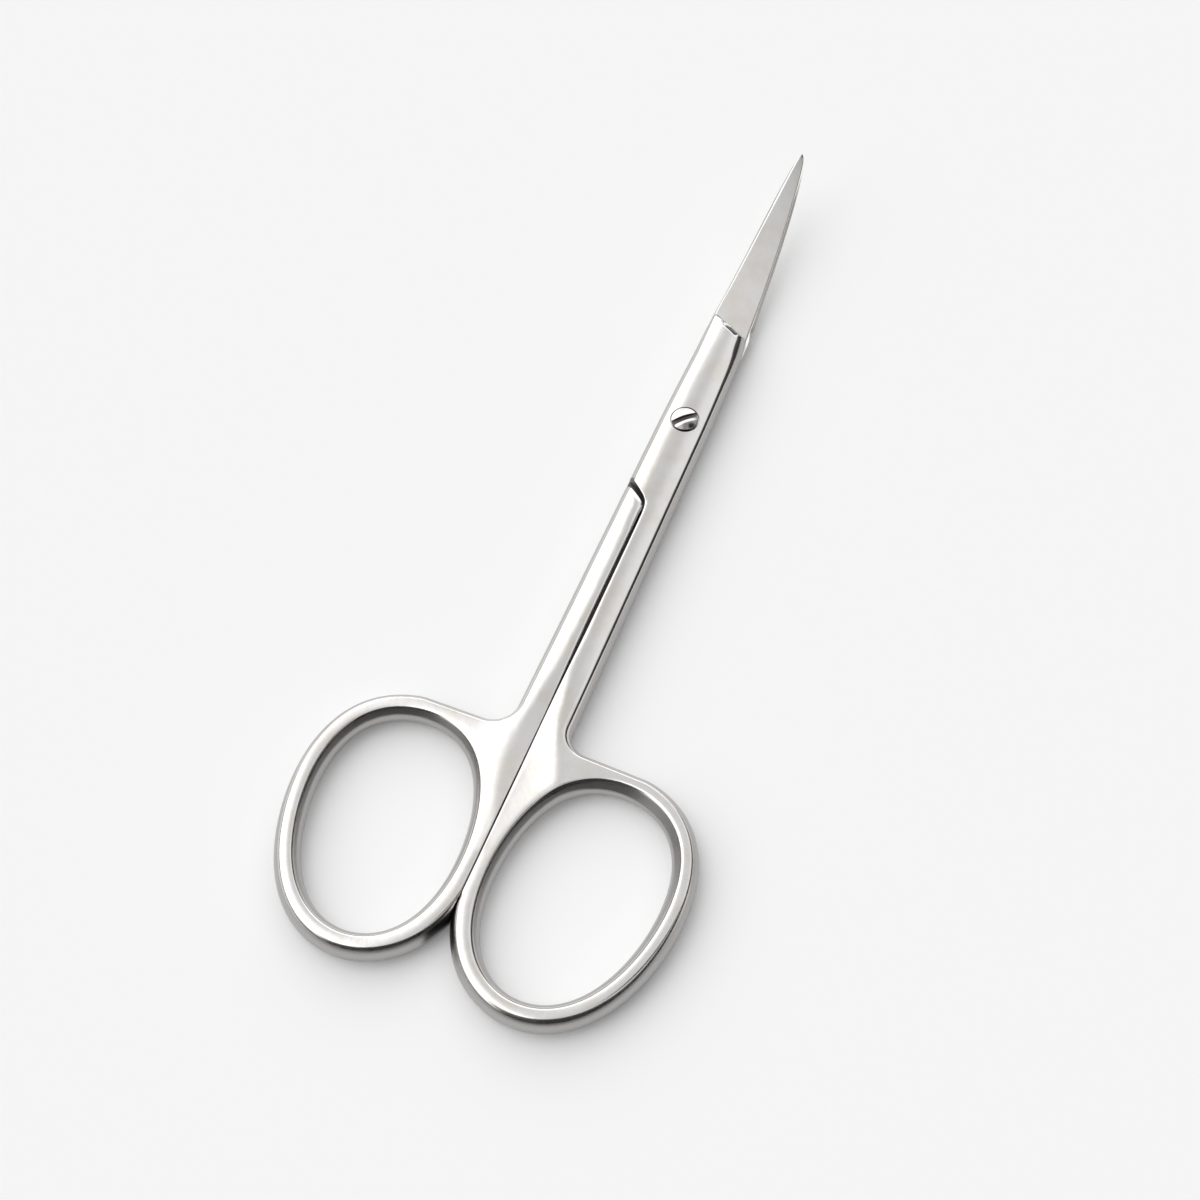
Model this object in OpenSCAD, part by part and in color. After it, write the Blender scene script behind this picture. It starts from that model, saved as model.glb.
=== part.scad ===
// Cuticle scissors: two forged steel halves that cross at a slotted pivot screw.
// X runs along the scissors towards the tips, Y to the left seen from above, Z up.
// The origin is the middle of the closed scissors' outline, on the surface they lie on.

/* [Overall] */
// Length of the closed scissors, from the back of the bows to the tips
total_len = 93.6; // [92:0.2:96]
// Distance from the pivot axis to the tips
reach = 32.4; // [31:0.2:34]
// Thickness of the shanks and bows between their crisp edges
body_t = 2.7; // [2.5:0.1:3.2]
// Rise of the polished top face above its edges
crown = 0.2; // [0.1:0.05:0.3]

/* [Bows] */
// Length of a finger hole at its top edge
hole_len = 22.15; // [20:0.05:23]
// Width of a finger hole at its top edge
hole_w = 15.73; // [14:0.01:17]
// Turn of a finger hole away from the middle line, in degrees
hole_turn = 7.7; // [4:0.1:10]
// How much blunter the front of a finger hole is than its back
hole_blunt = 0.335; // [0:0.005:0.6]
// How far the finger hole's oval is filled out at its shoulders
hole_full = 0.123; // [0:0.001:0.3]
// Width of a bow's top face
wall = 1.05; // [0.9:0.05:1.3]
// Thickness of a bow between its finger hole and the middle line
inner_wall = 1.2; // [1.1:0.05:1.6]
// How far a bow's rounded side stands out past its top face
bow_side = 0.66; // [0.5:0.02:0.8]

/* [Shanks] */
// Width of one shank's top face where it leaves the bow
root_w = 2.33; // [2:0.01:2.6]
// Half width of the top face over the pivot
pivot_w = 2.03; // [1.8:0.01:2.2]
// How far a shank's side stands out past its top face
shank_side = 0.5; // [0.4:0.05:0.7]
// Inner radius where the upper half's shank meets its bow
upper_fillet = 2.4; // [2:0.1:3.2]
// Inner radius where the lower half's shank meets its bow
lower_fillet = 3; // [2:0.1:3.2]
// Gap between the two shanks on each side of the middle line
seam_gap = 0.08; // [0.04:0.01:0.12]
// Distance from the pivot axis back to the start of the step in the seam
notch_at = 9.9; // [9.4:0.1:10.6]

/* [Blades] */
// Distance from the pivot axis to the shoulder where the blade is ground
shoulder_at = 12; // [11.4:0.1:12.4]
// How far back the shoulder slants for each millimetre across
shoulder_slant = 0.4; // [0.3:0.05:0.5]
// Half width of a blade just past the shoulder
blade_w = 2.1; // [1.9:0.02:2.2]
// Thickness of a blade's back just past the shoulder
blade_back = 1.2; // [1:0.05:1.3]
// Thickness of a blade's back at the tip
tip_back = 0.36; // [0.3:0.02:0.5]
// Distance from the pivot axis to where the blades start to curve up
curve_start = 8; // [7:0.5:10]
// Radius of the blades' upward curve
curve_r = 68; // [60:1:90]
// Clearance between each blade and the surface they slide on
slide_gap = 0.02; // [0.01:0.005:0.04]

/* [Pivot screw] */
// Diameter of the screw's head
head_d = 2.56; // [2.4:0.02:2.8]
// Height of the head's edge above its seat
head_h = 0.5; // [0.4:0.05:0.7]
// Rise of the head's domed top
head_dome = 0.16; // [0.05:0.01:0.25]
// Width of the screwdriver slot
slot_w = 0.5; // [0.4:0.05:0.6]
// Depth of the slot below the edge of the head
slot_d = 0.3; // [0.2:0.05:0.35]
// Direction of the slot, in degrees from the long axis
slot_turn = -39.5; // [-90:0.5:90]
// Diameter of the smooth part that the upper half turns on
journal_d = 2; // [1.8:0.1:2.2]
// Diameter of the threaded end, over its crests
thread_d = 1.9; // [1.6:0.1:1.9]
// Clearance on each side between the journal and its bore
journal_gap = 0.04; // [0.02:0.01:0.08]
// Clearance on each side between the threaded end and its hole
thread_gap = 0.02; // [0.01:0.01:0.03]
// Depth of the head's seat below the edges of the top face
seat_d = 0.1; // [0.05:0.05:0.25]
// Clearance on each side between the head and the rim of its seat
seat_gap = 0.1; // [0.08:0.01:0.2]

/* [Hidden] */

half_t = body_t / 2;
rear = total_len - reach;
// The pivot's place along X, with the outline's middle at the origin
pivot_x = total_len / 2 - reach;
// Strips across a shank
ACROSS = 6;
// Angles round a finger hole: the shank joins between the first two, the plain bow starts at the third
ROOT_FROM = -55;
ROOT_TO = -32;
BOW_FROM = -4;
// Part of the fillet that belongs to the bow
FILLET_PART = 0.62;
// Thickness at a cutting edge
EDGE_T = 0.12;
// Radius past everything, for the cutting solids
FAR = 45;

// Smooth step from 0 at a to 1 at b
function ease(a, b, t) = let (u = min(1, max(0, (t - a) / (b - a)))) u * u * (3 - 2 * u);
function mix(a, b, t) = a + (b - a) * t;
// A ramp that starts at x0, rounded over a length of q
function ramp(x, x0, slope, q) = slope * (sqrt((x - x0) * (x - x0) + q * q) + x - x0) / 2;

// Height of the surface the blades slide on, at a distance r from the pivot axis
function slide_z(r) = r <= curve_start ? 0 : curve_r - sqrt(pow(curve_r, 2) - pow(r - curve_start, 2));

// Top edge of the finger hole round its own centre, then in its place
function hole_raw(a) = let (
        u = hole_len / 2 * cos(a) - hole_blunt * cos(2 * a) - hole_full * cos(3 * a),
        v = hole_w / 2 * sin(a) + hole_full * sin(3 * a)
    ) [u * cos(hole_turn) - v * sin(hole_turn), u * sin(hole_turn) + v * cos(hole_turn)];
raw_pts = [for (a = [0 : 2 : 358]) hole_raw(a)];
raw_low = [min([for (p = raw_pts) p[0]]), min([for (p = raw_pts) p[1]])];
hole_shift = [wall + bow_side - rear, inner_wall] - raw_low;
function hole(a) = hole_raw(a) + hole_shift;
// Outward normal of the hole's edge
function hole_n(a) = let (d = hole_raw(a + 0.5) - hole_raw(a - 0.5)) [d[1], -d[0]] / norm(d);
front_x = max([for (p = raw_pts) p[0]]) + hole_shift[0] + wall;

// Half width of the shanks' and plates' top face, which all three parts of the outline follow
function top_w(x) = x < 0 ? mix(pivot_w, root_w, x / (front_x + 2.5)) : pivot_w - 0.02 * x - 0.0008 * x * x;
// Half width of the closed blades, from blade_w at blade_from to almost nothing at the tips
blade_from = shoulder_at + 1;
function blade_half(x) = blade_w * sqrt((max(0, reach - x) + 0.02) / (reach - blade_from));
function to_blade(x) = ease(shoulder_at - 5, shoulder_at + 2, x);
// Half width at the widest line
function wide_w(x) = mix(top_w(x) + shank_side, blade_half(x), to_blade(x));
// Edge of the back's top face, on the side away from the half's own bow
function back_w(x) = mix(top_w(x), wide_w(x) - 0.42 * min(1, wide_w(x)), to_blade(x));
// Edge of the outer face and widest line on the bow's side, which is the cutting edge past the shoulder
function bow_w(x) = x < shoulder_at ? top_w(x) - 0.3 * ease(shoulder_at - 5, shoulder_at - 0.5, x)
    : wide_w(x) - 0.3 * min(1, wide_w(x));
function bow_wide(x) = let (to_edge = ease(shoulder_at - 2.5, shoulder_at + 0.5, x))
    mix(top_w(x) + shank_side, wide_w(x) - 0.24 * min(1, wide_w(x)), to_edge);

// The step in the seam: where it starts and ends, the edge of the plate that crosses over,
// and the end of the half beside it
step_from = -notch_at - 2.6;
step_to = 2.6 - notch_at;
function seam_in(x) = seam_gap - ramp(x, 0.15 - notch_at, 1.25, 0.5);
function end_wall(x) = ramp(x, -0.25 - notch_at, 1.55, 0.5);

// Height of a blade's ground face above the sliding surface; t runs from its back to its edge
function back_t(x) = mix(blade_back, tip_back, pow(min(1, max(0, (x - blade_from) / (reach - blade_from))), 0.8));
function ground_h(x, t) = mix(back_t(x), EDGE_T, t);
function crown_h(x, v) = half_t + crown * (1 - pow(v / top_w(x), 2));

// A point on the fillet between bow and shank, from the bow's front, 0, to the shank, 1
function fillet(r, t) = [front_x, top_w(front_x + r)] + [r - r * cos(90 * t), r - r * sin(90 * t)];

// Sections of the bow: angles round the hole, with steps for the fillet and for the seam
BOW_A = [
    for (i = [0 : 10]) mix(ROOT_TO, BOW_FROM, i / 10),
    for (i = [1 : 56]) mix(BOW_FROM, 270, i / 56),
    for (i = [1 : 6]) mix(270, 360 + ROOT_FROM, i / 6)
];
N = len(BOW_A) - 1;
seam_y = seam_gap / 4;
root_seam = [front_x - 1.6, seam_y];
function bow_out(i, r) = i <= 6 ? fillet(r, FILLET_PART * (1 - i / 6))
    : i <= 10 ? mix(fillet(r, 0), bow_out(11, r) - [0, 0.5], (i - 6) / 4.4)
    : BOW_A[i] > 270.01 ? mix([hole(270)[0], seam_y], root_seam, (BOW_A[i] - 270) / (90 + ROOT_FROM))
    : let (p = hole(BOW_A[i]) + hole_n(BOW_A[i]) * mix(wall, inner_wall + 0.15, ease(185, 245, BOW_A[i])))
        [p[0], max(p[1], seam_y)];

// Shank, plate and blade: where the sections cross the middle line
FILLET_T = [0.7, 0.78, 0.86, 0.93, 1];
ALONG = [
    for (q = [0 : 4]) mix(front_x + 6.6, step_from - 2, q / 4),
    for (d = [-2.1, -1.3, -0.9, -0.6, -0.3, 0, 0.3, 0.6, 0.9, 1.2, 1.5, 1.8, 2.1, 2.5]) d - notch_at,
    for (q = [0 : 4]) mix(-0.6 * notch_at, shoulder_at - 4, q / 4),
    for (d = [-2.5, -1.4, -0.2, 0.2]) shoulder_at + d,
    for (q = [0, 0.08, 0.18, 0.28, 0.39, 0.49, 0.59, 0.7, 0.77, 0.84, 0.9, 0.94, 0.965, 0.985, 1])
        mix(blade_from, reach, q)
];
M = len(FILLET_T) + len(ALONG);
// How far a section slants with the shoulder
function slant(x) = shoulder_slant * ease(shoulder_at - 3.5, shoulder_at - 1.4, x)
    * (1 - ease(shoulder_at + 0.4, shoulder_at + 5, x));

// One section across, as [top points, widest point on the bow's side, bottom points, widest point behind]
function section(up, r, j) = j < len(FILLET_T)
    ? let (
        t = FILLET_T[j],
        b = fillet(r, t),
        a = [mix(root_seam[0], front_x + r, (t - FILLET_PART) / (1 - FILLET_PART)), seam_y],
        line = [for (k = [0 : ACROSS]) mix(a, b, k / ACROSS)],
        wide = b + shank_side * [cos(90 * t), sin(90 * t)]
    ) [
        for (p = line) [p[0], p[1], half_t + crown * (1 - pow(p[1] / b[1], 2))],
        [wide[0], wide[1], 0],
        for (k = [ACROSS : -1 : 0]) [line[k][0], line[k][1], -half_t],
        [a[0], a[1], 0]
    ]
    : let (
        x = ALONG[j - len(FILLET_T)],
        open = ease(front_x + 2.5, front_x + 14.5, x),
        in_x = mix(seam_y, seam_in(x), open),
        v0 = max(in_x, -back_w(x)),
        v0w = max(in_x, -wide_w(x)),
        v1 = bow_w(x),
        s = slant(x),
        g = x < shoulder_at ? 0 : 1,
        cut = mix(half_t, 0.8, ease(0, shoulder_at - 2, x)),
        crossed = x > step_to + 0.3,
        pts = [for (k = [0 : ACROSS]) let (
                t = k / ACROSS,
                v = mix(v0, v1, t),
                px = x - s * v,
                f = slide_z(px),
                face = g == 1 ? ground_h(x, t) : up > 0 || !crossed ? crown_h(x, v) : half_t
            ) [px, v, f, face]]
    ) [
        for (p = pts) [p[0], p[1], up > 0 ? p[2] + p[3] : crossed ? p[2] + cut : p[3]],
        [x - s * bow_wide(x), bow_wide(x), slide_z(x - s * bow_wide(x))],
        for (k = [ACROSS : -1 : 0]) let (p = pts[k])
            [p[0], p[1], up > 0 ? p[2] - cut : crossed ? p[2] - p[3] : -half_t],
        [x - s * v0w, v0w, slide_z(x - s * v0w)]
    ];

// The whole forging of one half before the other half's room is cut out of it.
// It has its bow on +Y; up is 1 when its plate lies on top, r is its fillet's radius.
module forging(up, r) {
    out = [for (i = [0 : N]) bow_out(i, r)];
    bow_pts = [for (i = [0 : N]) let (
            h = hole(BOW_A[i]),
            hn = hole_n(BOW_A[i]) * bow_side,
            o = out[i],
            d = out[min(i + 1, N)] - out[max(i - 1, 0)],
            w = o + [d[1], -d[0]] / norm(d) * mix(shank_side, bow_side, min(1, i / 8)),
            lift = crown * ease(262, 300, BOW_A[i])
        )
        each [
            [h[0] - hn[0], h[1] - hn[1], 0],
            [h[0], h[1], half_t],
            for (t = [0.33, 0.67]) [mix(h[0], o[0], t), mix(h[1], o[1], t), half_t + max(0.7 * crown, t * lift)],
            [o[0], o[1], half_t + lift],
            [w[0], max(w[1], seam_y), 0],
            [o[0], o[1], -half_t],
            [h[0], h[1], -half_t]
        ]];
    root_b = out[0];
    zone_pts = [for (k = [1 : ACROSS - 1]) let (
            t = k / ACROSS,
            a = mix(ROOT_FROM, ROOT_TO, t),
            h = hole(a),
            hn = hole_n(a) * bow_side,
            o = mix(root_seam, root_b, t),
            rise = crown * (1 - t * t)
        )
        each [
            [o[0], o[1], half_t + rise],
            for (q = [0.67, 0.33]) [mix(h[0], o[0], q), mix(h[1], o[1], q), half_t + max(0.7 * crown, q * rise)],
            [h[0], h[1], half_t],
            [h[0] - hn[0], h[1] - hn[1], 0],
            [h[0], h[1], -half_t],
            [o[0], o[1], -half_t]
        ]];
    shank_pts = [for (j = [0 : M - 1]) each section(up, r, j)];
    z0 = len(bow_pts);
    s0 = z0 + len(zone_pts);
    round_n = 2 * ACROSS + 4;
    SIDE = [4, 3, 2, 1, 0, 7, 6];
    function zone_i(k, q) = k == 0 ? 8 * N + SIDE[q] : k == ACROSS ? SIDE[q] : z0 + 7 * (k - 1) + q;
    function shank_i(j, s) = j > 0 ? s0 + round_n * (j - 1) + s
        : s <= ACROSS ? zone_i(s, 0)
        : s == ACROSS + 1 ? 5
        : s < round_n - 1 ? zone_i(round_n - 2 - s, 6)
        : 8 * N + 5;
    function quad(a, b, c, d) = [[a, b, c], [a, c, d]];
    polyhedron(
        points = concat(bow_pts, zone_pts, shank_pts),
        faces = [
            for (i = [0 : N - 1], p = [0 : 7]) let (q = (p + 1) % 8)
                each quad(8 * i + q, 8 * i + p, 8 * i + 8 + p, 8 * i + 8 + q),
            for (k = [0 : ACROSS - 1], q = [0 : 5])
                each quad(zone_i(k, q), zone_i(k, q + 1), zone_i(k + 1, q + 1), zone_i(k + 1, q)),
            for (j = [0 : M - 1], s = [0 : round_n - 1]) let (q = (s + 1) % round_n)
                each quad(shank_i(j, s), shank_i(j, q), shank_i(j + 1, q), shank_i(j + 1, s)),
            for (k = [0 : ACROSS - 1]) let (q = round_n - 2 - k)
                each quad(shank_i(M, k), shank_i(M, k + 1), shank_i(M, q - 1), shank_i(M, q)),
            [shank_i(M, ACROSS), shank_i(M, ACROSS + 1), shank_i(M, ACROSS + 2)],
            [shank_i(M, round_n - 2), shank_i(M, round_n - 1), shank_i(M, 0)]
        ]
    );
}

// Everything on one side of the surface the blades slide on, side is 1 above it and -1 below.
// It reaches past that surface by the sliding clearance, so the half it is cut from stays clear of it.
module beyond_slide(side) {
    steps = [for (i = [0 : 12]) mix(curve_start, FAR, i / 12)];
    rotate_extrude($fn = 180)
        polygon([
            [0, -side * slide_gap],
            for (r = steps) [r, slide_z(r) - side * slide_gap],
            [FAR, side > 0 ? 20 : -6],
            [0, side > 0 ? 20 : -6]
        ]);
}

// The room that the other half's plate and blade need, seen from above
module crossing_room() {
    xs = [for (i = [0 : 24]) mix(step_from, step_to, i / 24)];
    translate([0, 0, -8])
        linear_extrude(30)
            polygon([
                for (x = xs) [x, end_wall(x)],
                [FAR, end_wall(step_to)],
                [FAR, -9],
                [step_from, -9]
            ]);
}

module placed() { translate([pivot_x, 0, half_t]) children(); }

module upper_half() {
    color("silver") placed() mirror([0, 1, 0]) difference() {
        forging(1, upper_fillet);
        intersection() {
            beyond_slide(-1);
            crossing_room();
        }
        translate([0, 0, -half_t]) cylinder(h = 2 * body_t, d = journal_d + 2 * journal_gap, $fn = 96);
        translate([0, 0, half_t - seat_d]) cylinder(h = body_t, d = head_d + 2 * seat_gap, $fn = 96);
    }
}

module lower_half() {
    color("silver") placed() difference() {
        forging(-1, lower_fillet);
        intersection() {
            beyond_slide(1);
            crossing_room();
        }
        translate([0, 0, -body_t]) cylinder(h = 2 * body_t, d = thread_d + 2 * thread_gap, $fn = 96);
    }
}

// Head, journal and threaded end in one turned piece, with the slot cut across the head
module pivot_screw() {
    seat = half_t - seat_d + slide_gap;
    color("lightgray") placed() difference() {
        rotate_extrude($fn = 96)
            polygon([
                [0, -half_t + 0.06],
                [thread_d / 2 - 0.15, -half_t + 0.06],
                [thread_d / 2, -half_t + 0.21],
                [thread_d / 2, 0],
                [journal_d / 2, 0],
                [journal_d / 2, seat],
                [head_d / 2, seat],
                [head_d / 2, seat + head_h],
                for (i = [1 : 6]) let (q = 1 - i / 6) [head_d / 2 * q, seat + head_h + head_dome * (1 - q * q)]
            ]);
        translate([0, 0, seat + head_h - slot_d])
            rotate([0, 0, slot_turn])
                translate([-head_d, -slot_w / 2, 0])
                    cube([2 * head_d, slot_w, 2]);
    }
}

upper_half();
lower_half();
pivot_screw();
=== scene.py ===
"""Cuticle scissors: two forged steel halves that cross at a slotted pivot screw.

Each half is drawn in its own plan: x runs from the pivot towards the tip, v
from the middle line towards the half's own bow, z up from the middle of the
forging, all in millimetres. The finished pieces are placed in the row frame.
"""

import logging
import math
from collections.abc import Callable, Iterator
from contextlib import contextmanager
from dataclasses import dataclass
from enum import Enum

import bpy
import numpy as np
from bpy.types import Material, NodeSocket, NodeTree, Object
from mathutils import Matrix, Vector

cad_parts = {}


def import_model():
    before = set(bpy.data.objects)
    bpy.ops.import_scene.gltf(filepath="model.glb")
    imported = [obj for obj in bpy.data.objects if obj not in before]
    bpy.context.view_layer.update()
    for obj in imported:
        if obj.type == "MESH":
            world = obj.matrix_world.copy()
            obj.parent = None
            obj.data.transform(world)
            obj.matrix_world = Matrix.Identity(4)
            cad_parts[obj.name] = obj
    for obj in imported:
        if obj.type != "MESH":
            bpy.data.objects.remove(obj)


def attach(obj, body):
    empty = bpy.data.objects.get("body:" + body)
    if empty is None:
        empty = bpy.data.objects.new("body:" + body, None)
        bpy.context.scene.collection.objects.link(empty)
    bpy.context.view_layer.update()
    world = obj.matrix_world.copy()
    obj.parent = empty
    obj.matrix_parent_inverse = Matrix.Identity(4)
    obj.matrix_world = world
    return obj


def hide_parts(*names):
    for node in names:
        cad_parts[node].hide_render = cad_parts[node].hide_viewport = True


log = logging.getLogger("scissors")
MM = 0.001

Point = np.ndarray
Points = list[Point]
Surface = Callable[[Point], float]
Value = float | Point
Pair = tuple[float, float]
Triple = tuple[float, float, float]


def ease(a: float, b: float, t: float) -> float:
    """A smooth step from 0 at a to 1 at b."""
    u = np.clip((t - a) / (b - a), 0.0, 1.0)
    return u * u * (3.0 - 2.0 * u)


def mix(a: Value, b: Value, t: float) -> Value:
    """The value a share t of the way from a to b."""
    return a + (b - a) * t


def ramp(x: float, x0: float, slope: float, q: float) -> float:
    """A ramp that starts at x0, rounded over a length of q."""
    return slope * (math.sqrt((x - x0) ** 2 + q * q) + x - x0) / 2.0


def arc(a: Point, c: Point, b: Point, count: int) -> Points:
    """Points that round the corner c between a and b.

    Args:
        a: Where the rounding starts.
        c: The corner itself.
        b: Where the rounding ends.
        count: How many points lie between a and b.

    Returns:
        The points between a and b, in order.
    """
    steps = [(k + 1) / (count + 1) for k in range(count)]
    return [(1 - t) ** 2 * a + 2 * t * (1 - t) * c + t * t * b for t in steps]


class Side(Enum):
    """Which way a half faces: its blade lies on top or underneath."""

    UPPER = 1
    LOWER = -1


# The ridge's line on each half's root, as places along and across
RIDGES = {
    Side.LOWER: ((-24, 0.6), (-27, 0.68), (-29, 0.72), (-31.4, 1.0), (-33.9, 1.38), (-36.7, 1.8),
                 (-38.4, 1.72), (-40.1, 1.6), (-41.7, 1.3), (-43.2, 0.8), (-44.8, 0.36), (-47, -0.3)),
    Side.UPPER: ((-24, 0.5), (-27.3, 0.62), (-29.8, 0.85), (-32, 1.15), (-33.7, 1.35), (-35.3, 1.7),
                 (-36.4, 2.1), (-37.5, 2.8), (-38.6, 3.5), (-41, 4.0), (-47, 4.0)),
}


@dataclass(frozen=True)
class Sizes:
    """The scissors' sizes in millimetres, the same ones as in the part's source."""

    total_len: float = 93.6
    reach: float = 32.4
    body_t: float = 2.7
    crown: float = 0.2
    hole_len: float = 22.15
    hole_w: float = 15.73
    hole_turn: float = math.radians(7.7)
    hole_blunt: float = 0.335
    hole_full: float = 0.123
    wall: float = 1.05
    inner_wall: float = 1.2
    bow_side: float = 0.66
    root_w: float = 2.33
    pivot_w: float = 2.03
    shank_side: float = 0.5
    seam_gap: float = 0.08
    notch_at: float = 9.9
    shoulder_at: float = 12.0
    shoulder_slant: float = 0.4
    blade_w: float = 2.1
    blade_back: float = 1.2
    tip_back: float = 0.36
    edge_t: float = 0.12
    curve_start: float = 8.0
    curve_r: float = 68.0
    slide_gap: float = 0.02
    head_d: float = 2.56
    head_h: float = 0.5
    head_dome: float = 0.16
    slot_w: float = 0.5
    slot_d: float = 0.3
    slot_turn: float = math.radians(-46.0)
    journal_d: float = 2.0
    thread_d: float = 1.9
    journal_gap: float = 0.04
    thread_gap: float = 0.02
    seat_d: float = 0.1
    seat_gap: float = 0.1

    @property
    def half_t(self) -> float:
        """Half the forging's thickness."""
        return self.body_t / 2

    @property
    def pivot_x(self) -> float:
        """The pivot's place along X in the row frame."""
        return self.total_len / 2 - self.reach

    @property
    def seam_y(self) -> float:
        """How far a half's flat inner side stays off the middle line at the bows."""
        return self.seam_gap / 2


@dataclass(frozen=True)
class Relief:
    """How the polished top face falls off: depths and widths on the shank and the bow, and zones along x."""

    bow_drop: float = 0.12
    bow_zone: Pair = (-34.0, -39.5)
    hole_depth: Pair = (0.05, 0.085)
    hole_width: Pair = (0.22, 0.34)
    rim_depth: Pair = (0.02, 0.08)
    rim_width: Pair = (0.12, 0.3)
    rim_zone: Pair = (-44.0, -53.0)
    seam_depth: Pair = (0.08, 0.14)
    seam_width: Pair = (0.24, 0.5)
    seam_zone: Pair = (-20.0, -30.0)
    seam_start: Pair = (-9.0, -11.5)
    root_zone: Pair = (-24.0, -32.0)
    root_drop: float = 0.02
    root_rim: Pair = (0.03, 0.15)
    ridge_fall: float = 0.24
    ridge_slope: float = 0.08
    wall_fall: float = 0.13
    wall_zone: Pair = (-4.0, -2.2)


@dataclass(frozen=True)
class Step:
    """The step that the grinding wheel left between the plate and the blade, in millimetres."""

    foot_h: float = 0.12
    climb: float = 9.0
    lip_l: float = 0.14
    lip_slope: float = 0.5
    ledge_l: float = 0.32
    ledge_w: float = 0.22
    ledge_slope: float = 0.22
    chamfer_l: float = 0.42
    steep: float = 0.5
    soft: float = 0.27
    steep_zone: Pair = (0.26, 0.4)
    soft_zone: Pair = (0.84, 0.9)

    def run_out(self, d: float) -> float:
        """Height that the wheel leaves over the ground face, at a distance d past the shoulder."""
        if d < 0.0:
            return self.foot_h - self.climb * d
        lip = max(0.0, self.lip_slope * (self.lip_l - d))
        return lip + self.ledge_slope * max(0.0, min(self.ledge_w, self.ledge_l - d))

    def chamfer(self, d: float, t: float) -> float:
        """How far the plate's end falls off, d past the shoulder and a share t across."""
        steep = self.steep * ease(*self.steep_zone, t) * (1 - ease(*self.soft_zone, t))
        soft = self.soft * ease(*self.soft_zone, t)
        return (steep + soft) * max(0.0, d + self.chamfer_l)


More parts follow.
